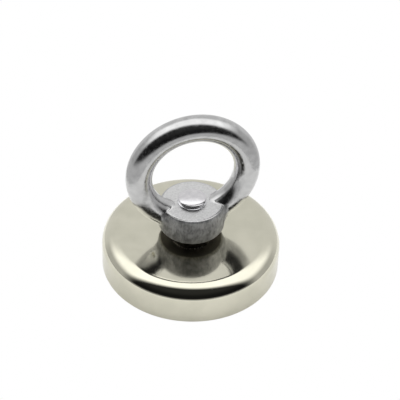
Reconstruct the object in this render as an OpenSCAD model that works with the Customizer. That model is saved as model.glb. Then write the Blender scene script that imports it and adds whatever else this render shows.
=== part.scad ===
// Magnet fishing magnet with a swivel eye.
// A steel pot holds a ring magnet that pulls downwards. A stud screwed into the pot's
// core carries a forged eye, which is held between the stud's collar and its riveted
// head and turns freely about the vertical axis.
// Origin: centre of the pull face. +Z: up, along the swivel axis. The eye's hole faces Y.

/* [Steel pot] */
// Outer diameter of the pot
pot_d = 60; // [58:0.5:70]
// Height of the pot
pot_h = 13.5; // [13:0.5:16]
// Radius of the pot's rounded upper edge
pot_edge_r = 5.2; // [3:0.1:5.5]
// Thickness of the side wall
pot_wall = 4.5; // [3.5:0.1:6]
// Thickness of the roof over the magnet
pot_roof = 5; // [4:0.1:6]
// Diameter of the steel core in the middle of the pot
core_d = 16; // [14:0.5:18]
// Chamfer on the outer rim at the pull face
rim_chamfer = 0.4; // [0.2:0.1:0.8]

/* [Magnet and potting] */
// Gap between the magnet and the pot's wall, filled with resin
potting_gap = 1; // [0.6:0.1:2]
// Wall thickness of the non-magnetic sleeve round the core
sleeve_wall = 2; // [1:0.1:3]
// How far the magnet's face lies inside the rim
face_recess = 0.2; // [0.1:0.05:0.5]
// Thickness of the adhesive over the magnet
adhesive_t = 0.3; // [0.2:0.05:0.5]
// Chamfer on the magnet's edges
magnet_chamfer = 0.4; // [0.2:0.1:0.8]

/* [Swivel stud] */
// Nominal thread diameter
thread_d = 8; // [8:1:10]
// Thread pitch
thread_pitch = 1.25; // [1:0.25:1.5]
// Number of thread turns in the core
thread_turns = 8; // [6:1:8]
// Diameter of the shank that the eye turns on
shank_d = 6; // [5.5:0.1:6.5]
// Width of the hexagonal collar across its flats
collar_af = 13; // [12:0.5:13]
// Height of the collar
collar_h = 2.5; // [2:0.1:3.5]
// Diameter of the riveted head
head_d = 9.3; // [9:0.1:9.6]
// Height of the riveted head
head_h = 1.6; // [1.5:0.1:2.2]
// Rounding of the riveted head's shoulder
head_edge_r = 1.1; // [0.8:0.1:1.3]
// Radius of the crown on top of the riveted head
head_crown_r = 9; // [8:0.5:14]

/* [Washers] */
// Outer diameter of the thrust washer under the eye
thrust_washer_d = 13; // [12:0.5:16]
// Thickness of the thrust washer
thrust_washer_t = 0.5; // [0.4:0.1:1]
// Outer diameter of the washer under the riveted head
rivet_washer_d = 9.6; // [9.6:0.1:11]
// Thickness of the washer under the riveted head
rivet_washer_t = 0.4; // [0.3:0.1:0.8]

/* [Swivel eye] */
// Outer diameter of the ring
eye_d = 44.5; // [43:0.1:46]
// Diameter of the bar that the ring is forged from
eye_bar_d = 8.6; // [8:0.1:9]
// Height of the ring's centre above the boss's foot
eye_rise = 22; // [21.5:0.1:22.5]
// Diameter of the boss at its foot
boss_d = 21.9; // [21.6:0.1:24]
// Diameter of the boss's flat top face
boss_top_d = 20.2; // [19.6:0.1:20.4]
// Height of the boss
boss_h = 9.8; // [9.3:0.1:10.2]
// Chamfer round the boss's top face
boss_chamfer = 0.5; // [0.3:0.1:0.6]
// Chamfer round the boss's foot
boss_foot_chamfer = 0.6; // [0.3:0.1:0.8]
// Diameter kept clear of the ring's arms for the riveted head and its washer
spot_face_d = 11.6; // [11.4:0.1:12.4]

/* [Clearances] */
// Radial clearance of the eye on the shank
pivot_clearance = 0.05; // [0.02:0.01:0.1]
// Axial clearance of the eye at each end of the shank
end_clearance = 0.05; // [0.02:0.01:0.1]
// Radial clearance between the two threads
thread_clearance = 0.03; // [0.02:0.01:0.05]
// Radial clearance of the washers on the shank
washer_clearance = 0.1; // [0.05:0.01:0.2]

/* [Hidden] */
$fn = 96;
past = 1;

// Pot, from the pull face at z = 0 upwards
pot_r = pot_d / 2;
cavity_r = pot_r - pot_wall;
cavity_top = pot_h - pot_roof;
core_r = core_d / 2;
magnet_r = cavity_r - potting_gap;
magnet_bore_r = core_r + sleeve_wall;
magnet_top = cavity_top - adhesive_t;

// Thread, drawn as closed rings with 60 degree flanks
thread_r = thread_d / 2;
thread_depth = 0.54 * thread_pitch;
thread_crest = thread_pitch / 8;
thread_root = thread_pitch / 4;
thread_flank = (thread_pitch - thread_crest - thread_root) / 2;
thread_end_z = pot_h - thread_turns * thread_pitch;
hole_r = thread_r - thread_depth + thread_clearance;
tip_chamfer = 1;

// Levels of the stack on top of the pot
thrust_z = pot_h + collar_h;
boss_z = thrust_z + thrust_washer_t + end_clearance;
boss_top_z = boss_z + boss_h;
rivet_z = boss_top_z + end_clearance;
head_z = rivet_z + rivet_washer_t;

// Stud and eye
shank_r = shank_d / 2;
washer_bore_r = shank_r + washer_clearance;
collar_corner_r = collar_af / 2 / cos(30);
head_r = head_d / 2;
bar_r = eye_bar_d / 2;
ring_r = eye_d / 2 - bar_r;
ring_z = boss_z + eye_rise;
boss_r = boss_d / 2;
boss_top_r = boss_top_d / 2;

// Ring of rectangular section, from radius r0 to r1 and from z0 to z1
module tube(r0, r1, z0, z1) {
    translate([0, 0, z0])
        difference() {
            cylinder(r = r1, h = z1 - z0);
            translate([0, 0, -past])
                cylinder(r = r0, h = z1 - z0 + 2 * past);
        }
}

// Half outline of a disc of radius r from z0 to z1, its upper edge rounded with radius e
module disc_outline(r, z0, z1, e) {
    translate([0, z0])
        square([r - e, z1 - z0]);
    translate([0, z0])
        square([r, z1 - z0 - e]);
    intersection() {
        translate([r - e, z1 - e])
            circle(r = e);
        translate([r - e, z1 - e])
            square([e + past, e + past]);
    }
}

// Points down the side of a threaded rod of major radius r: four for each turn
function thread_points(r) = [
    for (turn = [0:thread_turns - 1])
        let (z = pot_h - turn * thread_pitch, root_r = r - thread_depth)
        each [
            [r, z],
            [r, z - thread_crest],
            [root_r, z - thread_crest - thread_flank],
            [root_r, z - thread_crest - thread_flank - thread_root]
        ]
];

// Solid threaded rod of major radius r, from the top of the pot to the thread's end
module thread_rod(r) {
    rotate_extrude()
        polygon(concat([[0, thread_end_z], [0, pot_h]], thread_points(r), [[r, thread_end_z]]));
}

// Turned steel cup, open at the pull face, with a threaded core in its middle
module steel_pot() {
    color("#c9c6b6")
        difference() {
            rotate_extrude()
                difference() {
                    disc_outline(pot_r, 0, pot_h, pot_edge_r);
                    polygon([[pot_r - rim_chamfer, 0], [pot_r, rim_chamfer], [pot_r + past, 0],
                             [pot_r, -past]]);
                }
            tube(core_r, cavity_r, -past, cavity_top);
            thread_rod(thread_r + thread_clearance);
            translate([0, 0, -past])
                cylinder(r = hole_r, h = thread_end_z + 2 * past);
        }
}

// Neodymium ring magnet, chamfered on all four edges
module ring_magnet() {
    c = magnet_chamfer;
    color("#b9bcc0")
        rotate_extrude()
            polygon([[magnet_bore_r + c, face_recess], [magnet_r - c, face_recess],
                     [magnet_r, face_recess + c], [magnet_r, magnet_top - c],
                     [magnet_r - c, magnet_top], [magnet_bore_r + c, magnet_top],
                     [magnet_bore_r, magnet_top - c], [magnet_bore_r, face_recess + c]]);
}

// Layer of glue between the magnet and the pot's roof
module magnet_adhesive() {
    color("#5c5648")
        tube(magnet_bore_r, cavity_r, magnet_top, cavity_top);
}

// Resin in the gap between the magnet and the pot's wall
module potting_ring() {
    color("#26272a")
        tube(magnet_r, cavity_r, face_recess, magnet_top);
}

// Non-magnetic sleeve between the steel core and the magnet's bore
module spacer_sleeve() {
    color("#c9a24b")
        tube(core_r, magnet_bore_r, face_recess, cavity_top);
}

// Resin that closes the threaded hole at the pull face
module thread_plug() {
    color("#26272a")
        translate([0, 0, face_recess])
            cylinder(r = hole_r, h = thread_end_z - face_recess);
}

// Stud with a threaded end, a hexagonal collar, a plain shank and a riveted head
module swivel_stud() {
    color("#bdbcc2")
        difference() {
            union() {
                thread_rod(thread_r);
                translate([0, 0, pot_h])
                    cylinder(r = collar_corner_r, h = collar_h, $fn = 6);
                translate([0, 0, pot_h])
                    cylinder(r = shank_r, h = head_z - pot_h + head_h / 2);
                rotate_extrude()
                    intersection() {
                        disc_outline(head_r, head_z, head_z + head_h, head_edge_r);
                        translate([0, head_z + head_h - head_crown_r])
                            circle(r = head_crown_r);
                    }
            }
            stud_tip_cut();
        }
}

// Chamfer round the lower tip of the stud
module stud_tip_cut() {
    rotate_extrude()
        polygon([[thread_r - tip_chamfer, thread_end_z - past], [thread_r + past, thread_end_z - past],
                 [thread_r + past, thread_end_z + tip_chamfer + past],
                 [thread_r - tip_chamfer, thread_end_z]]);
}

// Plain washer between the collar and the eye's boss
module thrust_washer() {
    color("#a9a9ad")
        tube(washer_bore_r, thrust_washer_d / 2, thrust_z, thrust_z + thrust_washer_t);
}

// Thin washer between the boss's top face and the riveted head
module rivet_washer() {
    color("#d3d3d6")
        tube(washer_bore_r, rivet_washer_d / 2, rivet_z, rivet_z + rivet_washer_t);
}

// Forged eye: a ring rising from a short boss, bored for the shank and clear round the head
module swivel_eye() {
    color("#aeadb3")
        difference() {
            union() {
                translate([0, 0, ring_z])
                    rotate([90, 0, 0])
                        rotate_extrude()
                            translate([ring_r, 0])
                                circle(r = bar_r);
                boss();
            }
            translate([-boss_r, -boss_r, boss_z - boss_h])
                cube([boss_d, boss_d, boss_h]);
            translate([0, 0, boss_top_z])
                cylinder(r = spot_face_d / 2, h = ring_z - boss_top_z);
            translate([0, 0, boss_z - past])
                cylinder(r = shank_r + pivot_clearance, h = boss_h + 2 * past);
        }
}

// Boss of the eye, slightly tapered and chamfered at its foot and round its top face
module boss() {
    foot = boss_foot_chamfer;
    top = boss_chamfer;
    rotate_extrude()
        polygon([[0, boss_z], [boss_r - foot, boss_z], [boss_r, boss_z + foot],
                 [boss_top_r + top, boss_top_z - top], [boss_top_r, boss_top_z], [0, boss_top_z]]);
}

steel_pot();
ring_magnet();
magnet_adhesive();
potting_ring();
spacer_sleeve();
thread_plug();
swivel_stud();
thrust_washer();
rivet_washer();
swivel_eye();
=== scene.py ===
"""Looks of the magnet fishing magnet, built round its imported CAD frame. Lengths are in metres."""

import bpy
import bmesh
import math
import numpy as np
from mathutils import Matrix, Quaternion, Vector


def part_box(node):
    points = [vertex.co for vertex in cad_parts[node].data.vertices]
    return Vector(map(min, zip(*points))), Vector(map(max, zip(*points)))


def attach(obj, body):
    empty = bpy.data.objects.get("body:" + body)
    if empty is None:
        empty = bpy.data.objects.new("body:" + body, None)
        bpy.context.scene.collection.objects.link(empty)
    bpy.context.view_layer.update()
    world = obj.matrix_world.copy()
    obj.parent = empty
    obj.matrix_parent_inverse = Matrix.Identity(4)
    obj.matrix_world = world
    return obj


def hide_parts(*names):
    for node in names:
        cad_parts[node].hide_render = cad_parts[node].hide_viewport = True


MM = 0.001
COLUMNS = 288                      # columns of every turned piece; divides by 6 for the hexagon
FRONT_AZIMUTH = math.radians(-13.9)  # side that the camera looks from and the tent opens to

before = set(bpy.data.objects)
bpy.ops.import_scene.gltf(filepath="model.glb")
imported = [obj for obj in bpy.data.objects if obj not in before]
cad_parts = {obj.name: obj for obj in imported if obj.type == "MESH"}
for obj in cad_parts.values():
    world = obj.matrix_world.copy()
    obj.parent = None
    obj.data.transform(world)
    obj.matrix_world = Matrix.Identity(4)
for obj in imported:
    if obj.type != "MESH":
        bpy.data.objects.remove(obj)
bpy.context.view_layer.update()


# ---------------------------------------------------------------- sizes, from the frame

def radius_of(node):
    """Outer radius of a CAD node that is centred on the axis."""
    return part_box(node)[1].x


def levels_of(node):
    """Lowest and highest level of a CAD node."""
    low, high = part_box(node)
    return low.z, high.z


POT_R = radius_of("steel_pot")
POT_H = levels_of("steel_pot")[1]
POT_EDGE_R = 5.2 * MM
RIM_CHAMFER = 0.4 * MM
CAVITY_R = radius_of("potting_ring")
CAVITY_TOP = levels_of("magnet_adhesive")[1]
SLEEVE_R = radius_of("spacer_sleeve")
CORE_R = 8 * MM
MAGNET_R = radius_of("ring_magnet")
FACE_Z, MAGNET_TOP = levels_of("ring_magnet")
PLUG_R = radius_of("thread_plug")
PLUG_Z, THREAD_END_Z = levels_of("thread_plug")

THREAD_R = 4 * MM
THREAD_PITCH = 1.25 * MM
THREAD_DEPTH = 0.54 * THREAD_PITCH
THREAD_CLEARANCE = 0.03 * MM
SHANK_R = 3 * MM
COLLAR_FLAT_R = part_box("swivel_stud")[1].y
HEAD_R = 4.65 * MM
THRUST_Z, THRUST_TOP = levels_of("thrust_washer")
RIVET_Z, HEAD_Z = levels_of("rivet_washer")
HEAD_TOP = levels_of("swivel_stud")[1]

EYE_OUT_R = radius_of("swivel_eye")
EYE_BAR_R = 4.3 * MM
EYE_R = EYE_OUT_R - EYE_BAR_R
BOSS_Z, EYE_TOP = levels_of("swivel_eye")
EYE_Z = EYE_TOP - EYE_OUT_R
BOSS_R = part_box("swivel_eye")[1].y
BOSS_TOP_R = 10.1 * MM
CLEAR_R = 5.8 * MM
FOOT_CHAMFER = 0.6 * MM
END_CLEARANCE = 0.05 * MM
PIVOT_CLEARANCE = 0.05 * MM
WASHER_CLEARANCE = 0.1 * MM
BOSS_TOP = RIVET_Z - END_CLEARANCE
BORE_R = SHANK_R + PIVOT_CLEARANCE


# ---------------------------------------------------------------- camera

def make_camera():
    aim = Vector((0, 0, 20 * MM))
    elevation = math.radians(41.3)
    roll = math.radians(1.93)
    distance = 0.4606
    back = Vector((math.sin(FRONT_AZIMUTH) * math.cos(elevation),
                   -math.cos(FRONT_AZIMUTH) * math.cos(elevation),
                   math.sin(elevation)))
    data = bpy.data.cameras.new("camera")
    data.lens = 124.5
    data.sensor_width = 36
    data.shift_x = 0.0207
    data.shift_y = 0.0385
    data.clip_start = 0.01
    camera = bpy.data.objects.new("camera", data)
    camera.location = aim + back * distance
    camera.rotation_mode = "QUATERNION"
    camera.rotation_quaternion = (-back).to_track_quat("-Z", "Y") @ Quaternion((0, 0, 1), roll)
    bpy.context.collection.objects.link(camera)
    bpy.context.scene.camera = camera


# ---------------------------------------------------------------- turned pieces

def rounded(corners, steps=10):
    """Outline through (r, z, fillet radius) corners, each corner replaced by an arc of that radius."""
    points = []
    count = len(corners)
    for i, (r, z, fillet) in enumerate(corners):
        corner = Vector((r, z))
        if fillet == 0:
            points.append(corner)
            continue
        before = (Vector(corners[i - 1][:2]) - corner).normalized()
        after = (Vector(corners[(i + 1) % count][:2]) - corner).normalized()
        half = before.angle(after) / 2
        centre = corner + (before + after).normalized() * (fillet / math.sin(half))
        start = corner + before * (fillet / math.tan(half)) - centre
        end = corner + after * (fillet / math.tan(half)) - centre
        sweep = start.angle(end)
        for k in range(steps + 1):
            t = k / steps
            arm = start * math.sin((1 - t) * sweep) + end * math.sin(t * sweep)
            points.append(centre + arm / math.sin(sweep))
    return [(p.x, p.y) for p in points]


def finish_piece(name, mesh, body, node, material):
    """Puts a piece in place of its CAD node, on its body and in its material slot."""
    piece = bpy.data.objects.new(name, mesh)
    bpy.context.collection.objects.link(piece)
    mesh.materials.append(material)
    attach(piece, body)
    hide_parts(node)
    return piece


def turned_mesh(name, rings, closed=True):
    """Mesh turned about Z. Each ring is (radius, z), and radius or z may vary from column to column."""
    angle = np.linspace(0, 2 * np.pi, COLUMNS, endpoint=False)
    grid = np.array([
        np.stack([np.cos(angle) * r, np.sin(angle) * r, np.broadcast_to(z, COLUMNS)], axis=1)
        for r, z in rings])
    ring_count = len(rings)
    verts = grid.reshape(-1, 3)
    column = np.arange(COLUMNS)
    right = (column + 1) % COLUMNS
    faces = []
    for i in range(ring_count if closed else ring_count - 1):
        here = i * COLUMNS
        there = ((i + 1) % ring_count) * COLUMNS
        faces.append(np.stack([here + column, here + right, there + right, there + column], axis=1))
    mesh = bpy.data.meshes.new(name)
    mesh.from_pydata(verts.tolist(), [], np.concatenate(faces).tolist())
    return mesh


def clean(mesh, sharp_angle=35):
    """Joins the points that meet on the axis, drops the bare edge this leaves along it, turns all faces
    outwards and marks the sharp edges."""
    bm = bmesh.new()
    bm.from_mesh(mesh)
    bmesh.ops.remove_doubles(bm, verts=bm.verts, dist=1e-7)
    bare_edges = [edge for edge in bm.edges if not edge.link_faces]
    bmesh.ops.delete(bm, geom=bare_edges, context="EDGES")
    bmesh.ops.recalc_face_normals(bm, faces=bm.faces)
    bm.to_mesh(mesh)
    bm.free()
    mesh.shade_smooth()
    mesh.set_sharp_from_angle(angle=math.radians(sharp_angle))


def turned_piece(name, rings, body, node, material):
    """Closed turned piece whose normals are weighted by area, so that its flats look flat."""
    mesh = turned_mesh(name, rings)
    clean(mesh)
    piece = finish_piece(name, mesh, body, node, material)
    weighted = piece.modifiers.new("weighted_normals", "WEIGHTED_NORMAL")
    weighted.keep_sharp = True
    return piece


def thread_rings(major_r, z_from, z_to, steps=12):
    """Rings of a right-hand 60 degree thread, from z_from to z_to."""
    crest = 0.16                   # shares of half a pitch taken by the crest and by the flank
    flank = 0.62
    count = int(round(abs(z_to - z_from) / THREAD_PITCH * steps))
    angle = np.linspace(0, 1, COLUMNS, endpoint=False)
    rings = []
    for z in np.linspace(z_from, z_to, count + 1):
        phase = np.abs((z / THREAD_PITCH - angle) % 1 - 0.5) * 2
        depth = np.clip((phase - crest) / flank, 0, 1) * THREAD_DEPTH
        rings.append((major_r - depth, z))
    return rings


def washer_rings(inner_r, outer_r, z0, z1, edge):
    """Section of a flat ring with all four edges rounded."""
    return rounded([(inner_r, z0, edge), (outer_r, z0, edge), (outer_r, z1, edge), (inner_r, z1, edge)], 6)


# ---------------------------------------------------------------- node helpers for materials

class Shader:
    """A Principled material with short calls for its noise, ranges and bumps."""

    def __init__(self, name, colour, metallic, roughness):
        self.material = bpy.data.materials.new(name)
        self.material.use_nodes = True
        self.tree = self.material.node_tree
        self.bsdf = self.tree.nodes["Principled BSDF"]
        self.bsdf.inputs["Base Color"].default_value = (*colour, 1)
        self.bsdf.inputs["Metallic"].default_value = metallic
        self.bsdf.inputs["Roughness"].default_value = roughness
        self.place = self.add("ShaderNodeTexCoord").outputs["Object"]
        self.last_normal = None

    def add(self, kind, **settings):
        node = self.tree.nodes.new(kind)
        for key, value in settings.items():
            setattr(node, key, value)
        return node

    def link(self, source, target):
        self.tree.links.new(source, target)

    def noise(self, size, detail=3, stretch=(1, 1, 1)):
        """Noise from 0 to 1 with features of about that size, longer along an axis by its stretch."""
        mapping = self.add("ShaderNodeMapping")
        mapping.inputs["Scale"].default_value = [1 / (size * s) for s in stretch]
        self.link(self.place, mapping.inputs["Vector"])
        noise = self.add("ShaderNodeTexNoise")
        noise.inputs["Scale"].default_value = 1
        noise.inputs["Detail"].default_value = detail
        self.link(mapping.outputs["Vector"], noise.inputs["Vector"])
        return noise.outputs["Fac"]

    def ranged(self, value, low, high, to_low, to_high, smooth=False):
        """Takes low to high onto to_low to to_high, and stays level beyond them."""
        node = self.add("ShaderNodeMapRange")
        if smooth:
            node.interpolation_type = "SMOOTHSTEP"
        node.inputs["From Min"].default_value = low
        node.inputs["From Max"].default_value = high
        node.inputs["To Min"].default_value = to_low
        node.inputs["To Max"].default_value = to_high
        self.link(value, node.inputs["Value"])
        return node.outputs["Result"]

    def maths(self, operation, a, b):
        node = self.add("ShaderNodeMath", operation=operation)
        for socket, value in zip(node.inputs, (a, b)):
            if isinstance(value, (int, float)):
                socket.default_value = value
            else:
                self.link(value, socket)
        return node.outputs["Value"]

    def mix(self, factor, a, b):
        """Blend of two colours or two values. A tuple is a colour."""
        is_colour = isinstance(a, tuple) or isinstance(b, tuple)
        node = self.add("ShaderNodeMix", data_type="RGBA" if is_colour else "FLOAT")
        kind = "RGBA" if is_colour else "VALUE"
        factor_in = next(s for s in node.inputs if s.name == "Factor" and s.type == "VALUE")
        sides = [s for s in node.inputs if s.name in ("A", "B") and s.type == kind]
        self.link(factor, factor_in)
        for socket, value in zip(sides, (a, b)):
            if isinstance(value, tuple):
                socket.default_value = (*value, 1)
            elif isinstance(value, (int, float)):
                socket.default_value = value
            else:
                self.link(value, socket)
        return next(s for s in node.outputs if s.type == kind)

    def bump(self, height, depth):
        """Adds a bump of that depth, in metres, over the bumps made before it."""
        node = self.add("ShaderNodeBump")
        node.inputs["Strength"].default_value = 1
        node.inputs["Distance"].default_value = depth
        self.link(height, node.inputs["Height"])
        if self.last_normal:
            self.link(self.last_normal, node.inputs["Normal"])
        self.last_normal = node.outputs["Normal"]
        self.link(self.last_normal, self.bsdf.inputs["Normal"])

    def axis_distance(self):
        flat = self.add("ShaderNodeVectorMath", operation="MULTIPLY")
        flat.inputs[1].default_value = (1, 1, 0)
        self.link(self.place, flat.inputs[0])
        length = self.add("ShaderNodeVectorMath", operation="LENGTH")
        self.link(flat.outputs["Vector"], length.inputs[0])
        return length.outputs["Value"]

    def height(self):
        split = self.add("ShaderNodeSeparateXYZ")
        self.link(self.place, split.inputs["Vector"])
        return split.outputs["Z"]

    def rings(self, spacing):
        """Value from -1 to 1 that rises and falls with the distance from the axis, as turning marks do."""
        return self.maths("SINE", self.maths("MULTIPLY", self.axis_distance(), 2 * math.pi / spacing), 0)

    def colour_from(self, value):
        self.link(value, self.bsdf.inputs["Base Color"])

    def roughness_from(self, value):
        self.link(value, self.bsdf.inputs["Roughness"])


# ---------------------------------------------------------------- materials

def nickel_plate():
    """Bright nickel plating: a warm mirror with faint waviness and fine scuffs, hazier on the flat top."""
    s = Shader("nickel_plate", (0.63, 0.61, 0.51), 1, 0.06)
    tone = s.ranged(s.noise(9 * MM, 4), 0.35, 0.65, 0, 1)
    s.colour_from(s.mix(tone, (0.60, 0.585, 0.485), (0.66, 0.64, 0.535)))
    on_top = s.ranged(s.height(), POT_H - 0.15 * MM, POT_H - 0.02 * MM, 0, 0.05)
    haze = s.maths("ADD", s.ranged(s.noise(5 * MM, 5), 0.35, 0.7, 0.035, 0.085), on_top)
    scuffs = s.ranged(s.noise(0.5 * MM, 6, (1, 6, 1)), 0.62, 0.72, 0, 0.12)
    s.roughness_from(s.maths("ADD", haze, scuffs))
    s.bump(s.noise(7 * MM, 2), 0.006 * MM)
    s.bump(s.noise(0.6 * MM, 3), 0.0006 * MM)
    return s.material


def magnet_plate():
    """Nickel-plated sintered magnet: brighter and greyer than the pot, with a fine grain."""
    s = Shader("magnet_plate", (0.60, 0.60, 0.59), 1, 0.2)
    tone = s.ranged(s.noise(6 * MM, 5), 0.3, 0.7, 0, 1)
    s.colour_from(s.mix(tone, (0.52, 0.52, 0.51), (0.64, 0.64, 0.63)))
    s.roughness_from(s.ranged(s.noise(1.5 * MM, 6), 0.3, 0.7, 0.16, 0.30))
    s.bump(s.noise(0.25 * MM, 4), 0.003 * MM)
    return s.material


def resin():
    """Dark cast epoxy with a soft gloss and slight unevenness."""
    s = Shader("resin", (0.012, 0.012, 0.014), 0, 0.25)
    tone = s.ranged(s.noise(2 * MM, 4), 0.3, 0.7, 0, 1)
    s.colour_from(s.mix(tone, (0.010, 0.010, 0.012), (0.022, 0.021, 0.020)))
    s.roughness_from(s.ranged(s.noise(1 * MM, 4), 0.3, 0.7, 0.18, 0.34))
    s.bump(s.noise(1.2 * MM, 3), 0.02 * MM)
    return s.material


def brass_sleeve():
    """Plain turned brass with turning marks and a little tarnish."""
    s = Shader("brass_sleeve", (0.60, 0.42, 0.17), 1, 0.28)
    tarnish = s.ranged(s.noise(2 * MM, 5), 0.35, 0.7, 0, 1)
    s.colour_from(s.mix(tarnish, (0.62, 0.44, 0.18), (0.42, 0.28, 0.11)))
    s.roughness_from(s.ranged(s.noise(0.8 * MM, 4), 0.3, 0.7, 0.22, 0.38))
    s.bump(s.rings(0.18 * MM), 0.001 * MM)
    return s.material


def stud_steel():
    """Stud: a bright riveted head with faint hammer waviness, and painted shade where it stands in the gap:
    near black below the thrust washer's top, fading out up to the boss's top.
    """
    s = Shader("stud_steel", (0.80, 0.79, 0.81), 1, 0.12)
    tone = s.ranged(s.noise(2 * MM, 4), 0.3, 0.7, 0, 1)
    bright = s.mix(tone, (0.62, 0.61, 0.63), (0.72, 0.71, 0.72))
    # Painted shade: the stud is coloured near black in the gap under the boss, fading out inside the boss's
    # bore.
    painted_shade_in_gap = s.ranged(s.height(), THRUST_TOP, BOSS_TOP, 1, 0)
    s.colour_from(s.mix(painted_shade_in_gap, bright, (0.16, 0.15, 0.14)))
    s.roughness_from(s.ranged(s.noise(0.7 * MM, 4), 0.3, 0.7, 0.10, 0.22))
    s.bump(s.noise(1.6 * MM, 2), 0.012 * MM)
    return s.material


def washer_steel():
    """Bright zinc-plated washers with a fine brushed grain."""
    s = Shader("washer_steel", (0.68, 0.68, 0.70), 1, 0.25)
    tone = s.ranged(s.noise(1 * MM, 4), 0.3, 0.7, 0, 1)
    s.colour_from(s.mix(tone, (0.60, 0.60, 0.62), (0.74, 0.74, 0.76)))
    s.roughness_from(s.ranged(s.noise(0.4 * MM, 4), 0.3, 0.7, 0.18, 0.32))
    s.bump(s.rings(0.12 * MM), 0.0008 * MM)
    return s.material


def eye_steel():
    """Forged steel: a satin mottled ring, a matt boss side, a lighter flat top and painted shade on the
    boss's bottom face.
    """
    s = Shader("eye_steel", (0.52, 0.50, 0.52), 1, 0.24)
    from_axis = s.axis_distance()
    height = s.height()
    in_boss = s.ranged(from_axis, BOSS_R + 0.2 * MM, BOSS_R + 1.6 * MM, 1, 0, smooth=True)
    below_top = s.ranged(height, BOSS_TOP - 0.3 * MM, BOSS_TOP - 0.1 * MM, 1, 0, smooth=True)
    side = s.maths("MULTIPLY", in_boss, below_top)
    near_top = s.ranged(height, BOSS_TOP - 0.06 * MM, BOSS_TOP - 0.03 * MM, 0, 1)
    not_above = s.ranged(height, BOSS_TOP + 0.02 * MM, BOSS_TOP + 0.05 * MM, 1, 0)
    on_boss = s.ranged(from_axis, BOSS_R - 0.1 * MM, BOSS_R, 1, 0)
    top = s.maths("MULTIPLY", s.maths("MULTIPLY", near_top, not_above), on_boss)

    mottle = s.ranged(s.noise(2.2 * MM, 5), 0.3, 0.7, 0, 1)
    ring_colour = s.mix(mottle, (0.47, 0.45, 0.475), (0.58, 0.56, 0.58))
    streak = s.noise(0.55 * MM, 5, (1, 1, 3))
    blotch = s.noise(2.2 * MM, 4)
    worn = s.ranged(s.maths("ADD", streak, blotch), 0.80, 1.20, 0, 1)
    side_colour = s.mix(worn, (0.27, 0.25, 0.265), (0.55, 0.53, 0.52))
    ring_and_side = s.mix(side, ring_colour, side_colour)
    grain = s.ranged(s.noise(0.5 * MM, 5), 0.35, 0.65, 0, 1)
    top_colour = s.mix(grain, (0.50, 0.515, 0.50), (0.64, 0.655, 0.63))
    faces = s.mix(top, ring_and_side, top_colour)
    # Painted shade: the boss's bottom face, which looks down at the pot across the gap, is coloured dark.
    painted_shade_underside = s.ranged(height, BOSS_Z + 0.02 * MM, BOSS_Z + 0.05 * MM, 1, 0)
    s.colour_from(s.mix(painted_shade_underside, faces, (0.20, 0.19, 0.19)))

    ring_rough = s.ranged(s.noise(1.1 * MM, 6), 0.3, 0.7, 0.11, 0.25)
    side_rough = s.ranged(streak, 0.3, 0.7, 0.56, 0.70)
    s.roughness_from(s.mix(top, s.mix(side, ring_rough, side_rough), 0.34))

    s.bump(s.noise(3 * MM, 3), 0.03 * MM)
    s.bump(s.noise(0.7 * MM, 4), 0.002 * MM)
    s.bump(s.maths("MULTIPLY", streak, side), 0.008 * MM)
    s.bump(s.maths("MULTIPLY", s.rings(0.3 * MM), top), 0.0012 * MM)
    return s.material


# ---------------------------------------------------------------- pot, magnet and potting

def make_pot(material):
    """Cup with a core, its threaded hole countersunk at the top and closed by the plug at the face."""
    hole_r = THREAD_R + THREAD_CLEARANCE
    countersink = 0.4 * MM
    face_edge = 0.25 * MM
    inner_fillet = 0.3 * MM
    outer = rounded([
        (hole_r + countersink, POT_H, 0),
        (POT_R, POT_H, POT_EDGE_R),
        (POT_R, 0, RIM_CHAMFER),
        (CAVITY_R, 0, face_edge),
        (CAVITY_R, CAVITY_TOP, inner_fillet),
        (CORE_R, CAVITY_TOP, inner_fillet),
        (CORE_R, 0, face_edge),
        (PLUG_R, 0, face_edge),
        (PLUG_R, THREAD_END_Z, 0)], 24)
    thread = thread_rings(hole_r, THREAD_END_Z, POT_H - countersink)
    turned_piece("steel_pot_body", outer + thread, "magnet", "steel_pot", material)


def make_magnet(material):
    rings = washer_rings(SLEEVE_R, MAGNET_R, FACE_Z, MAGNET_TOP, 0.4 * MM)
    turned_piece("ring_magnet_body", rings, "magnet", "ring_magnet", material)


def make_adhesive(material):
    rings = washer_rings(SLEEVE_R, CAVITY_R, MAGNET_TOP, CAVITY_TOP, 0.05 * MM)
    turned_piece("magnet_adhesive_layer", rings, "magnet", "magnet_adhesive", material)


def make_potting(material):
    """Resin that has crept a little up both walls of its gap and sunk in the middle."""
    middle = (MAGNET_R + CAVITY_R) / 2
    half = (CAVITY_R - MAGNET_R) / 2
    sag = 0.18 * MM
    face = [(middle + half * math.cos(t), FACE_Z + sag * math.sin(t))
            for t in np.linspace(math.pi, 0, 25)]
    rings = face + [(CAVITY_R, MAGNET_TOP), (MAGNET_R, MAGNET_TOP)]
    turned_piece("potting_ring_cast", rings, "magnet", "potting_ring", material)


def make_sleeve(material):
    rings = washer_rings(CORE_R, SLEEVE_R, FACE_Z, CAVITY_TOP, 0.15 * MM)
    turned_piece("spacer_sleeve_turned", rings, "magnet", "spacer_sleeve", material)


def make_plug(material):
    """Resin plug whose face sank to a shallow hollow where it shrank."""
    hollow = 0.5 * MM
    face = [(PLUG_R * math.cos(t), PLUG_Z + hollow * math.sin(t))
            for t in np.linspace(0, math.pi / 2, 17)]
    rings = [(0, THREAD_END_Z), (PLUG_R, THREAD_END_Z)] + face
    turned_piece("thread_plug_cast", rings, "magnet", "thread_plug", material)


# ---------------------------------------------------------------- stud and washers

def hexagon(flat_r):
    angle = np.linspace(0, 2 * np.pi, COLUMNS, endpoint=False)
    return flat_r / np.cos((angle % (np.pi / 3)) - np.pi / 6)


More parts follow.
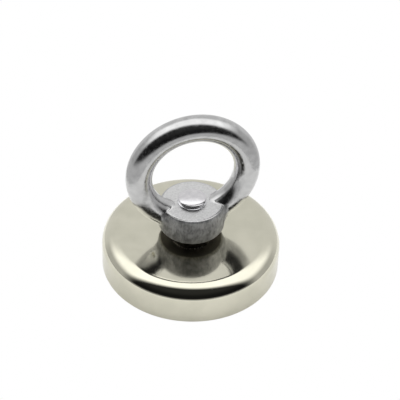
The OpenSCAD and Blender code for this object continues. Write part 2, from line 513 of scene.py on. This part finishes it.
def collar_rings():
    """Hexagonal collar whose corners are chamfered at 30 degrees at the top and the bottom."""
    hexed = hexagon(COLLAR_FLAT_R)
    face_r = COLLAR_FLAT_R * 0.95
    rings = []
    for z in np.linspace(POT_H, THRUST_Z, 33):
        from_face = min(z - POT_H, THRUST_Z - z)
        rings.append((np.minimum(hexed, face_r + from_face / math.tan(math.radians(30))), z))
    return rings


def head_outline():
    """Riveted head: a button that is widest above its washer and rises in one smooth dome."""
    belly_z = HEAD_Z + 0.5 * MM
    tuck = 0.45 * MM
    under = [(HEAD_R - tuck * (1 - math.sin(t)), belly_z - (belly_z - HEAD_Z) * math.cos(t))
             for t in np.linspace(0, math.pi / 2, 9)]
    over = []
    for t in np.linspace(0, math.pi / 2, 33)[1:]:
        over.append((HEAD_R * math.cos(t), belly_z + (HEAD_TOP - belly_z) * math.sin(t) ** (2 / 3)))
    return [(SHANK_R, HEAD_Z)] + under + over


def make_stud(material):
    """Stud, from its tip up: thread, collar, plain shank and riveted head."""
    tip = [(0, THREAD_END_Z), (THREAD_R - 1.1 * MM, THREAD_END_Z)]
    thread = thread_rings(THREAD_R, THREAD_END_Z + 0.6 * MM, POT_H)
    shank = [(SHANK_R + 0.3 * MM, THRUST_Z), (SHANK_R, THRUST_Z + 0.1 * MM), (SHANK_R, HEAD_Z - 0.1 * MM)]
    rings = tip + thread + collar_rings() + shank + head_outline()
    turned_piece("swivel_stud_turned", rings, "magnet", "swivel_stud", material)


def make_washers(material):
    """Flat thrust washer under the boss, and a slightly coned one under the riveted head."""
    bore = SHANK_R + WASHER_CLEARANCE
    thrust = washer_rings(bore, radius_of("thrust_washer"), THRUST_Z, THRUST_TOP, 0.1 * MM)
    turned_piece("thrust_washer_plain", thrust, "magnet", "thrust_washer", material)
    outer_r = radius_of("rivet_washer")
    rim_edge = 0.04 * MM
    rim_top = RIVET_Z + 0.12 * MM
    cone_width = 0.6 * MM
    rivet = rounded([(bore, RIVET_Z, 0), (outer_r, RIVET_Z, rim_edge), (outer_r, rim_top, rim_edge),
                     (outer_r - cone_width, HEAD_Z, 0.2 * MM), (bore, HEAD_Z, 0)], 6)
    turned_piece("rivet_washer_plain", rivet, "magnet", "rivet_washer", material)


# ---------------------------------------------------------------- forged eye

TOP_EDGE = 1.1 * MM                # rounding between the boss's side and its flat top
FOOT_EDGE = 0.3 * MM
BORE_EDGE = 0.2 * MM
CRISP_FILLET = 0.35 * MM           # between the ring and the boss's flat top
WIDE_FILLET = 2.4 * MM             # between the ring and the boss's side
FILLET_DEPTH = 3 * MM              # over which the first becomes the second


def join_smooth(a, b, width):
    """Union of two distance fields, with a fillet about as wide as width."""
    near = np.maximum(width - np.abs(a - b), 0) / width
    return np.minimum(a, b) - near * near * width / 4


def cut_smooth(a, b, width):
    """What two distance fields share, with the edge between them rounded."""
    return -join_smooth(-a, -b, width)


def eye_distance(p):
    """Signed distance to the eye's surface: a ring rising from a tapered boss, with a wide fillet at the
    boss's side and a crisp one at its flat top, kept clear round the head and bored."""
    x, y, z = p[:, 0], p[:, 1], p[:, 2]
    rho = np.hypot(x, y)
    ring = np.hypot(np.hypot(x, z - EYE_Z) - EYE_R, y) - EYE_BAR_R
    up = np.clip((z - BOSS_Z) / (BOSS_TOP - BOSS_Z), 0, 1)
    side = rho - (BOSS_R + (BOSS_TOP_R + 0.5 * MM - BOSS_R) * up ** 3)
    boss = cut_smooth(side, z - BOSS_TOP, TOP_EDGE)
    below_top = np.clip((BOSS_TOP - z) / FILLET_DEPTH, 0, 1)
    solid = join_smooth(ring, boss, CRISP_FILLET + (WIDE_FILLET - CRISP_FILLET) * below_top)
    clear_space = np.maximum(np.maximum(rho - CLEAR_R, BOSS_TOP - z), z - EYE_Z)
    solid = np.maximum(solid, -clear_space)
    foot = (rho - BOSS_R + FOOT_CHAMFER - (z - BOSS_Z)) * math.sqrt(0.5)
    solid = cut_smooth(solid, foot, FOOT_EDGE)
    solid = cut_smooth(solid, BOSS_Z - z, FOOT_EDGE)
    bore = np.maximum(rho - BORE_R, z - EYE_Z)
    return cut_smooth(solid, -bore, BORE_EDGE)


def gradient(distance, p, step=0.01 * MM):
    """Slope of a distance field at each point, by central differences."""
    slopes = []
    for axis in range(3):
        shift = np.zeros(3)
        shift[axis] = step
        slopes.append((distance(p + shift) - distance(p - shift)) / (2 * step))
    return np.stack(slopes, axis=1)


def surface_mesh(name, distance, low, high, step):
    """Quad mesh of the surface where distance is zero: one point in each grid cell that the surface
    crosses, moved onto it, and one face for each grid edge that it crosses."""
    axes = [np.arange(low[i] - 2 * step, high[i] + 2 * step, step) for i in range(3)]
    shape = tuple(len(a) for a in axes)
    corners = np.stack(np.meshgrid(*axes, indexing="ij"), axis=-1).reshape(-1, 3)
    inside = (distance(corners) < 0).reshape(shape)
    count = sum(inside[i:shape[0] - 1 + i, j:shape[1] - 1 + j, k:shape[2] - 1 + k].astype(np.int8)
                for i in (0, 1) for j in (0, 1) for k in (0, 1))
    crossed = (count > 0) & (count < 8)
    index = np.full(crossed.shape, -1)
    index[crossed] = np.arange(crossed.sum())
    points = np.stack([axes[i][np.nonzero(crossed)[i]] + step / 2 for i in range(3)], axis=1)
    pulls_to_surface = 6
    for _ in range(pulls_to_surface):
        slope = gradient(distance, points)
        length2 = (slope * slope).sum(axis=1)
        points = points - slope * (distance(points) / np.maximum(length2, 0.1))[:, None]

    faces = []
    for axis in range(3):
        here = np.moveaxis(inside, axis, 0)
        cells = np.moveaxis(index, axis, 0)
        i, j, k = np.nonzero(here[:-1, 1:-1, 1:-1] != here[1:, 1:-1, 1:-1])
        leaves = here[i, j + 1, k + 1]
        ring = np.stack([cells[i, j, k], cells[i, j + 1, k],
                         cells[i, j + 1, k + 1], cells[i, j, k + 1]], axis=1)
        flip = leaves if axis != 1 else ~leaves
        ring[~flip] = ring[~flip][:, ::-1]
        faces.append(ring)
    mesh = bpy.data.meshes.new(name)
    mesh.from_pydata(points.tolist(), [], np.concatenate(faces).tolist())
    mesh.shade_smooth()
    slope = gradient(distance, points)
    mesh.normals_split_custom_set_from_vertices(
        (slope / np.linalg.norm(slope, axis=1)[:, None]).tolist())
    return mesh


def make_eye(material):
    low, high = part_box("swivel_eye")
    step = 0.22 * MM
    mesh = surface_mesh("swivel_eye_forged", eye_distance, low, high, step)
    finish_piece("swivel_eye_forged", mesh, "eye", "swivel_eye", material)


# ---------------------------------------------------------------- floor and light

def make_floor():
    """White table top under the magnet, there to be mirrored in the pot's side. The camera sees past it."""
    radius = 70 * MM
    level = -0.02 * MM
    mesh = turned_mesh("floor", [(0, level), (radius, level)], closed=False)
    clean(mesh)
    floor = bpy.data.objects.new("floor", mesh)
    bpy.context.collection.objects.link(floor)
    s = Shader("floor_white", (0.93, 0.93, 0.92), 0, 0.9)
    s.bsdf.inputs["Emission Color"].default_value = (1, 1, 1, 1)
    s.bsdf.inputs["Emission Strength"].default_value = 0.25
    mesh.materials.append(s.material)
    floor.visible_camera = False


def make_light():
    """White tent that is brightest high up and opens to the front with a soft dark edge, over a white
    table that fades out towards the front. Directions are fixed in the frame. The background is white."""
    front = (math.sin(FRONT_AZIMUTH), -math.cos(FRONT_AZIMUTH), 0)
    world = bpy.data.worlds.new("tent")
    bpy.context.scene.world = world
    world.use_nodes = True
    tree = world.node_tree
    tree.nodes.clear()

    def add(kind, **settings):
        node = tree.nodes.new(kind)
        for key, value in settings.items():
            setattr(node, key, value)
        return node

    def ranged(value, low, high, to_low, to_high):
        node = add("ShaderNodeMapRange", interpolation_type="SMOOTHSTEP")
        for key, number in zip(("From Min", "From Max", "To Min", "To Max"), (low, high, to_low, to_high)):
            node.inputs[key].default_value = number
        tree.links.new(value, node.inputs["Value"])
        return node.outputs["Result"]

    def fill(socket, value):
        if isinstance(value, (int, float)):
            socket.default_value = value
        else:
            tree.links.new(value, socket)

    def maths(operation, a, b):
        node = add("ShaderNodeMath", operation=operation)
        fill(node.inputs[0], a)
        fill(node.inputs[1], b)
        return node.outputs["Value"]

    def mix(factor, a, b):
        node = add("ShaderNodeMix", data_type="FLOAT")
        fill(node.inputs[0], factor)
        fill(node.inputs[2], a)
        fill(node.inputs[3], b)
        return node.outputs[0]

    direction = add("ShaderNodeTexCoord").outputs["Generated"]
    split = add("ShaderNodeSeparateXYZ")
    tree.links.new(direction, split.inputs["Vector"])
    towards = add("ShaderNodeVectorMath", operation="DOT_PRODUCT")
    towards.inputs[1].default_value = front
    tree.links.new(direction, towards.inputs[0])
    forward = towards.outputs["Value"]
    up = split.outputs["Z"]

    def at(degrees):
        """Value of up for a direction at that angle above the horizon."""
        return math.sin(math.radians(degrees))

    side_walls = ranged(up, at(12), at(46), 0.58, 1.65)
    back_wall = ranged(up, at(42), at(62), 0.84, 1.65)
    walls = mix(ranged(forward, -0.70, -0.35, 1, 0), side_walls, back_wall)
    open_front = ranged(forward, 0.08, 0.44, 1, 0.02)
    table = ranged(up, -0.28, 0, 0.70, 0)
    lit = maths("MAXIMUM", maths("MULTIPLY", walls, open_front), table)

    seen = add("ShaderNodeLightPath").outputs["Is Camera Ray"]
    shown = mix(seen, lit, 1)
    background = add("ShaderNodeBackground")
    tree.links.new(shown, background.inputs["Color"])
    output = add("ShaderNodeOutputWorld")
    tree.links.new(background.outputs["Background"], output.inputs["Surface"])
    bpy.context.scene.view_settings.view_transform = "Standard"


make_camera()
cast_resin = resin()
make_pot(nickel_plate())
make_magnet(magnet_plate())
make_adhesive(cast_resin)
make_potting(cast_resin)
make_sleeve(brass_sleeve())
make_plug(cast_resin)
make_stud(stud_steel())
make_washers(washer_steel())
make_eye(eye_steel())
make_floor()
make_light()
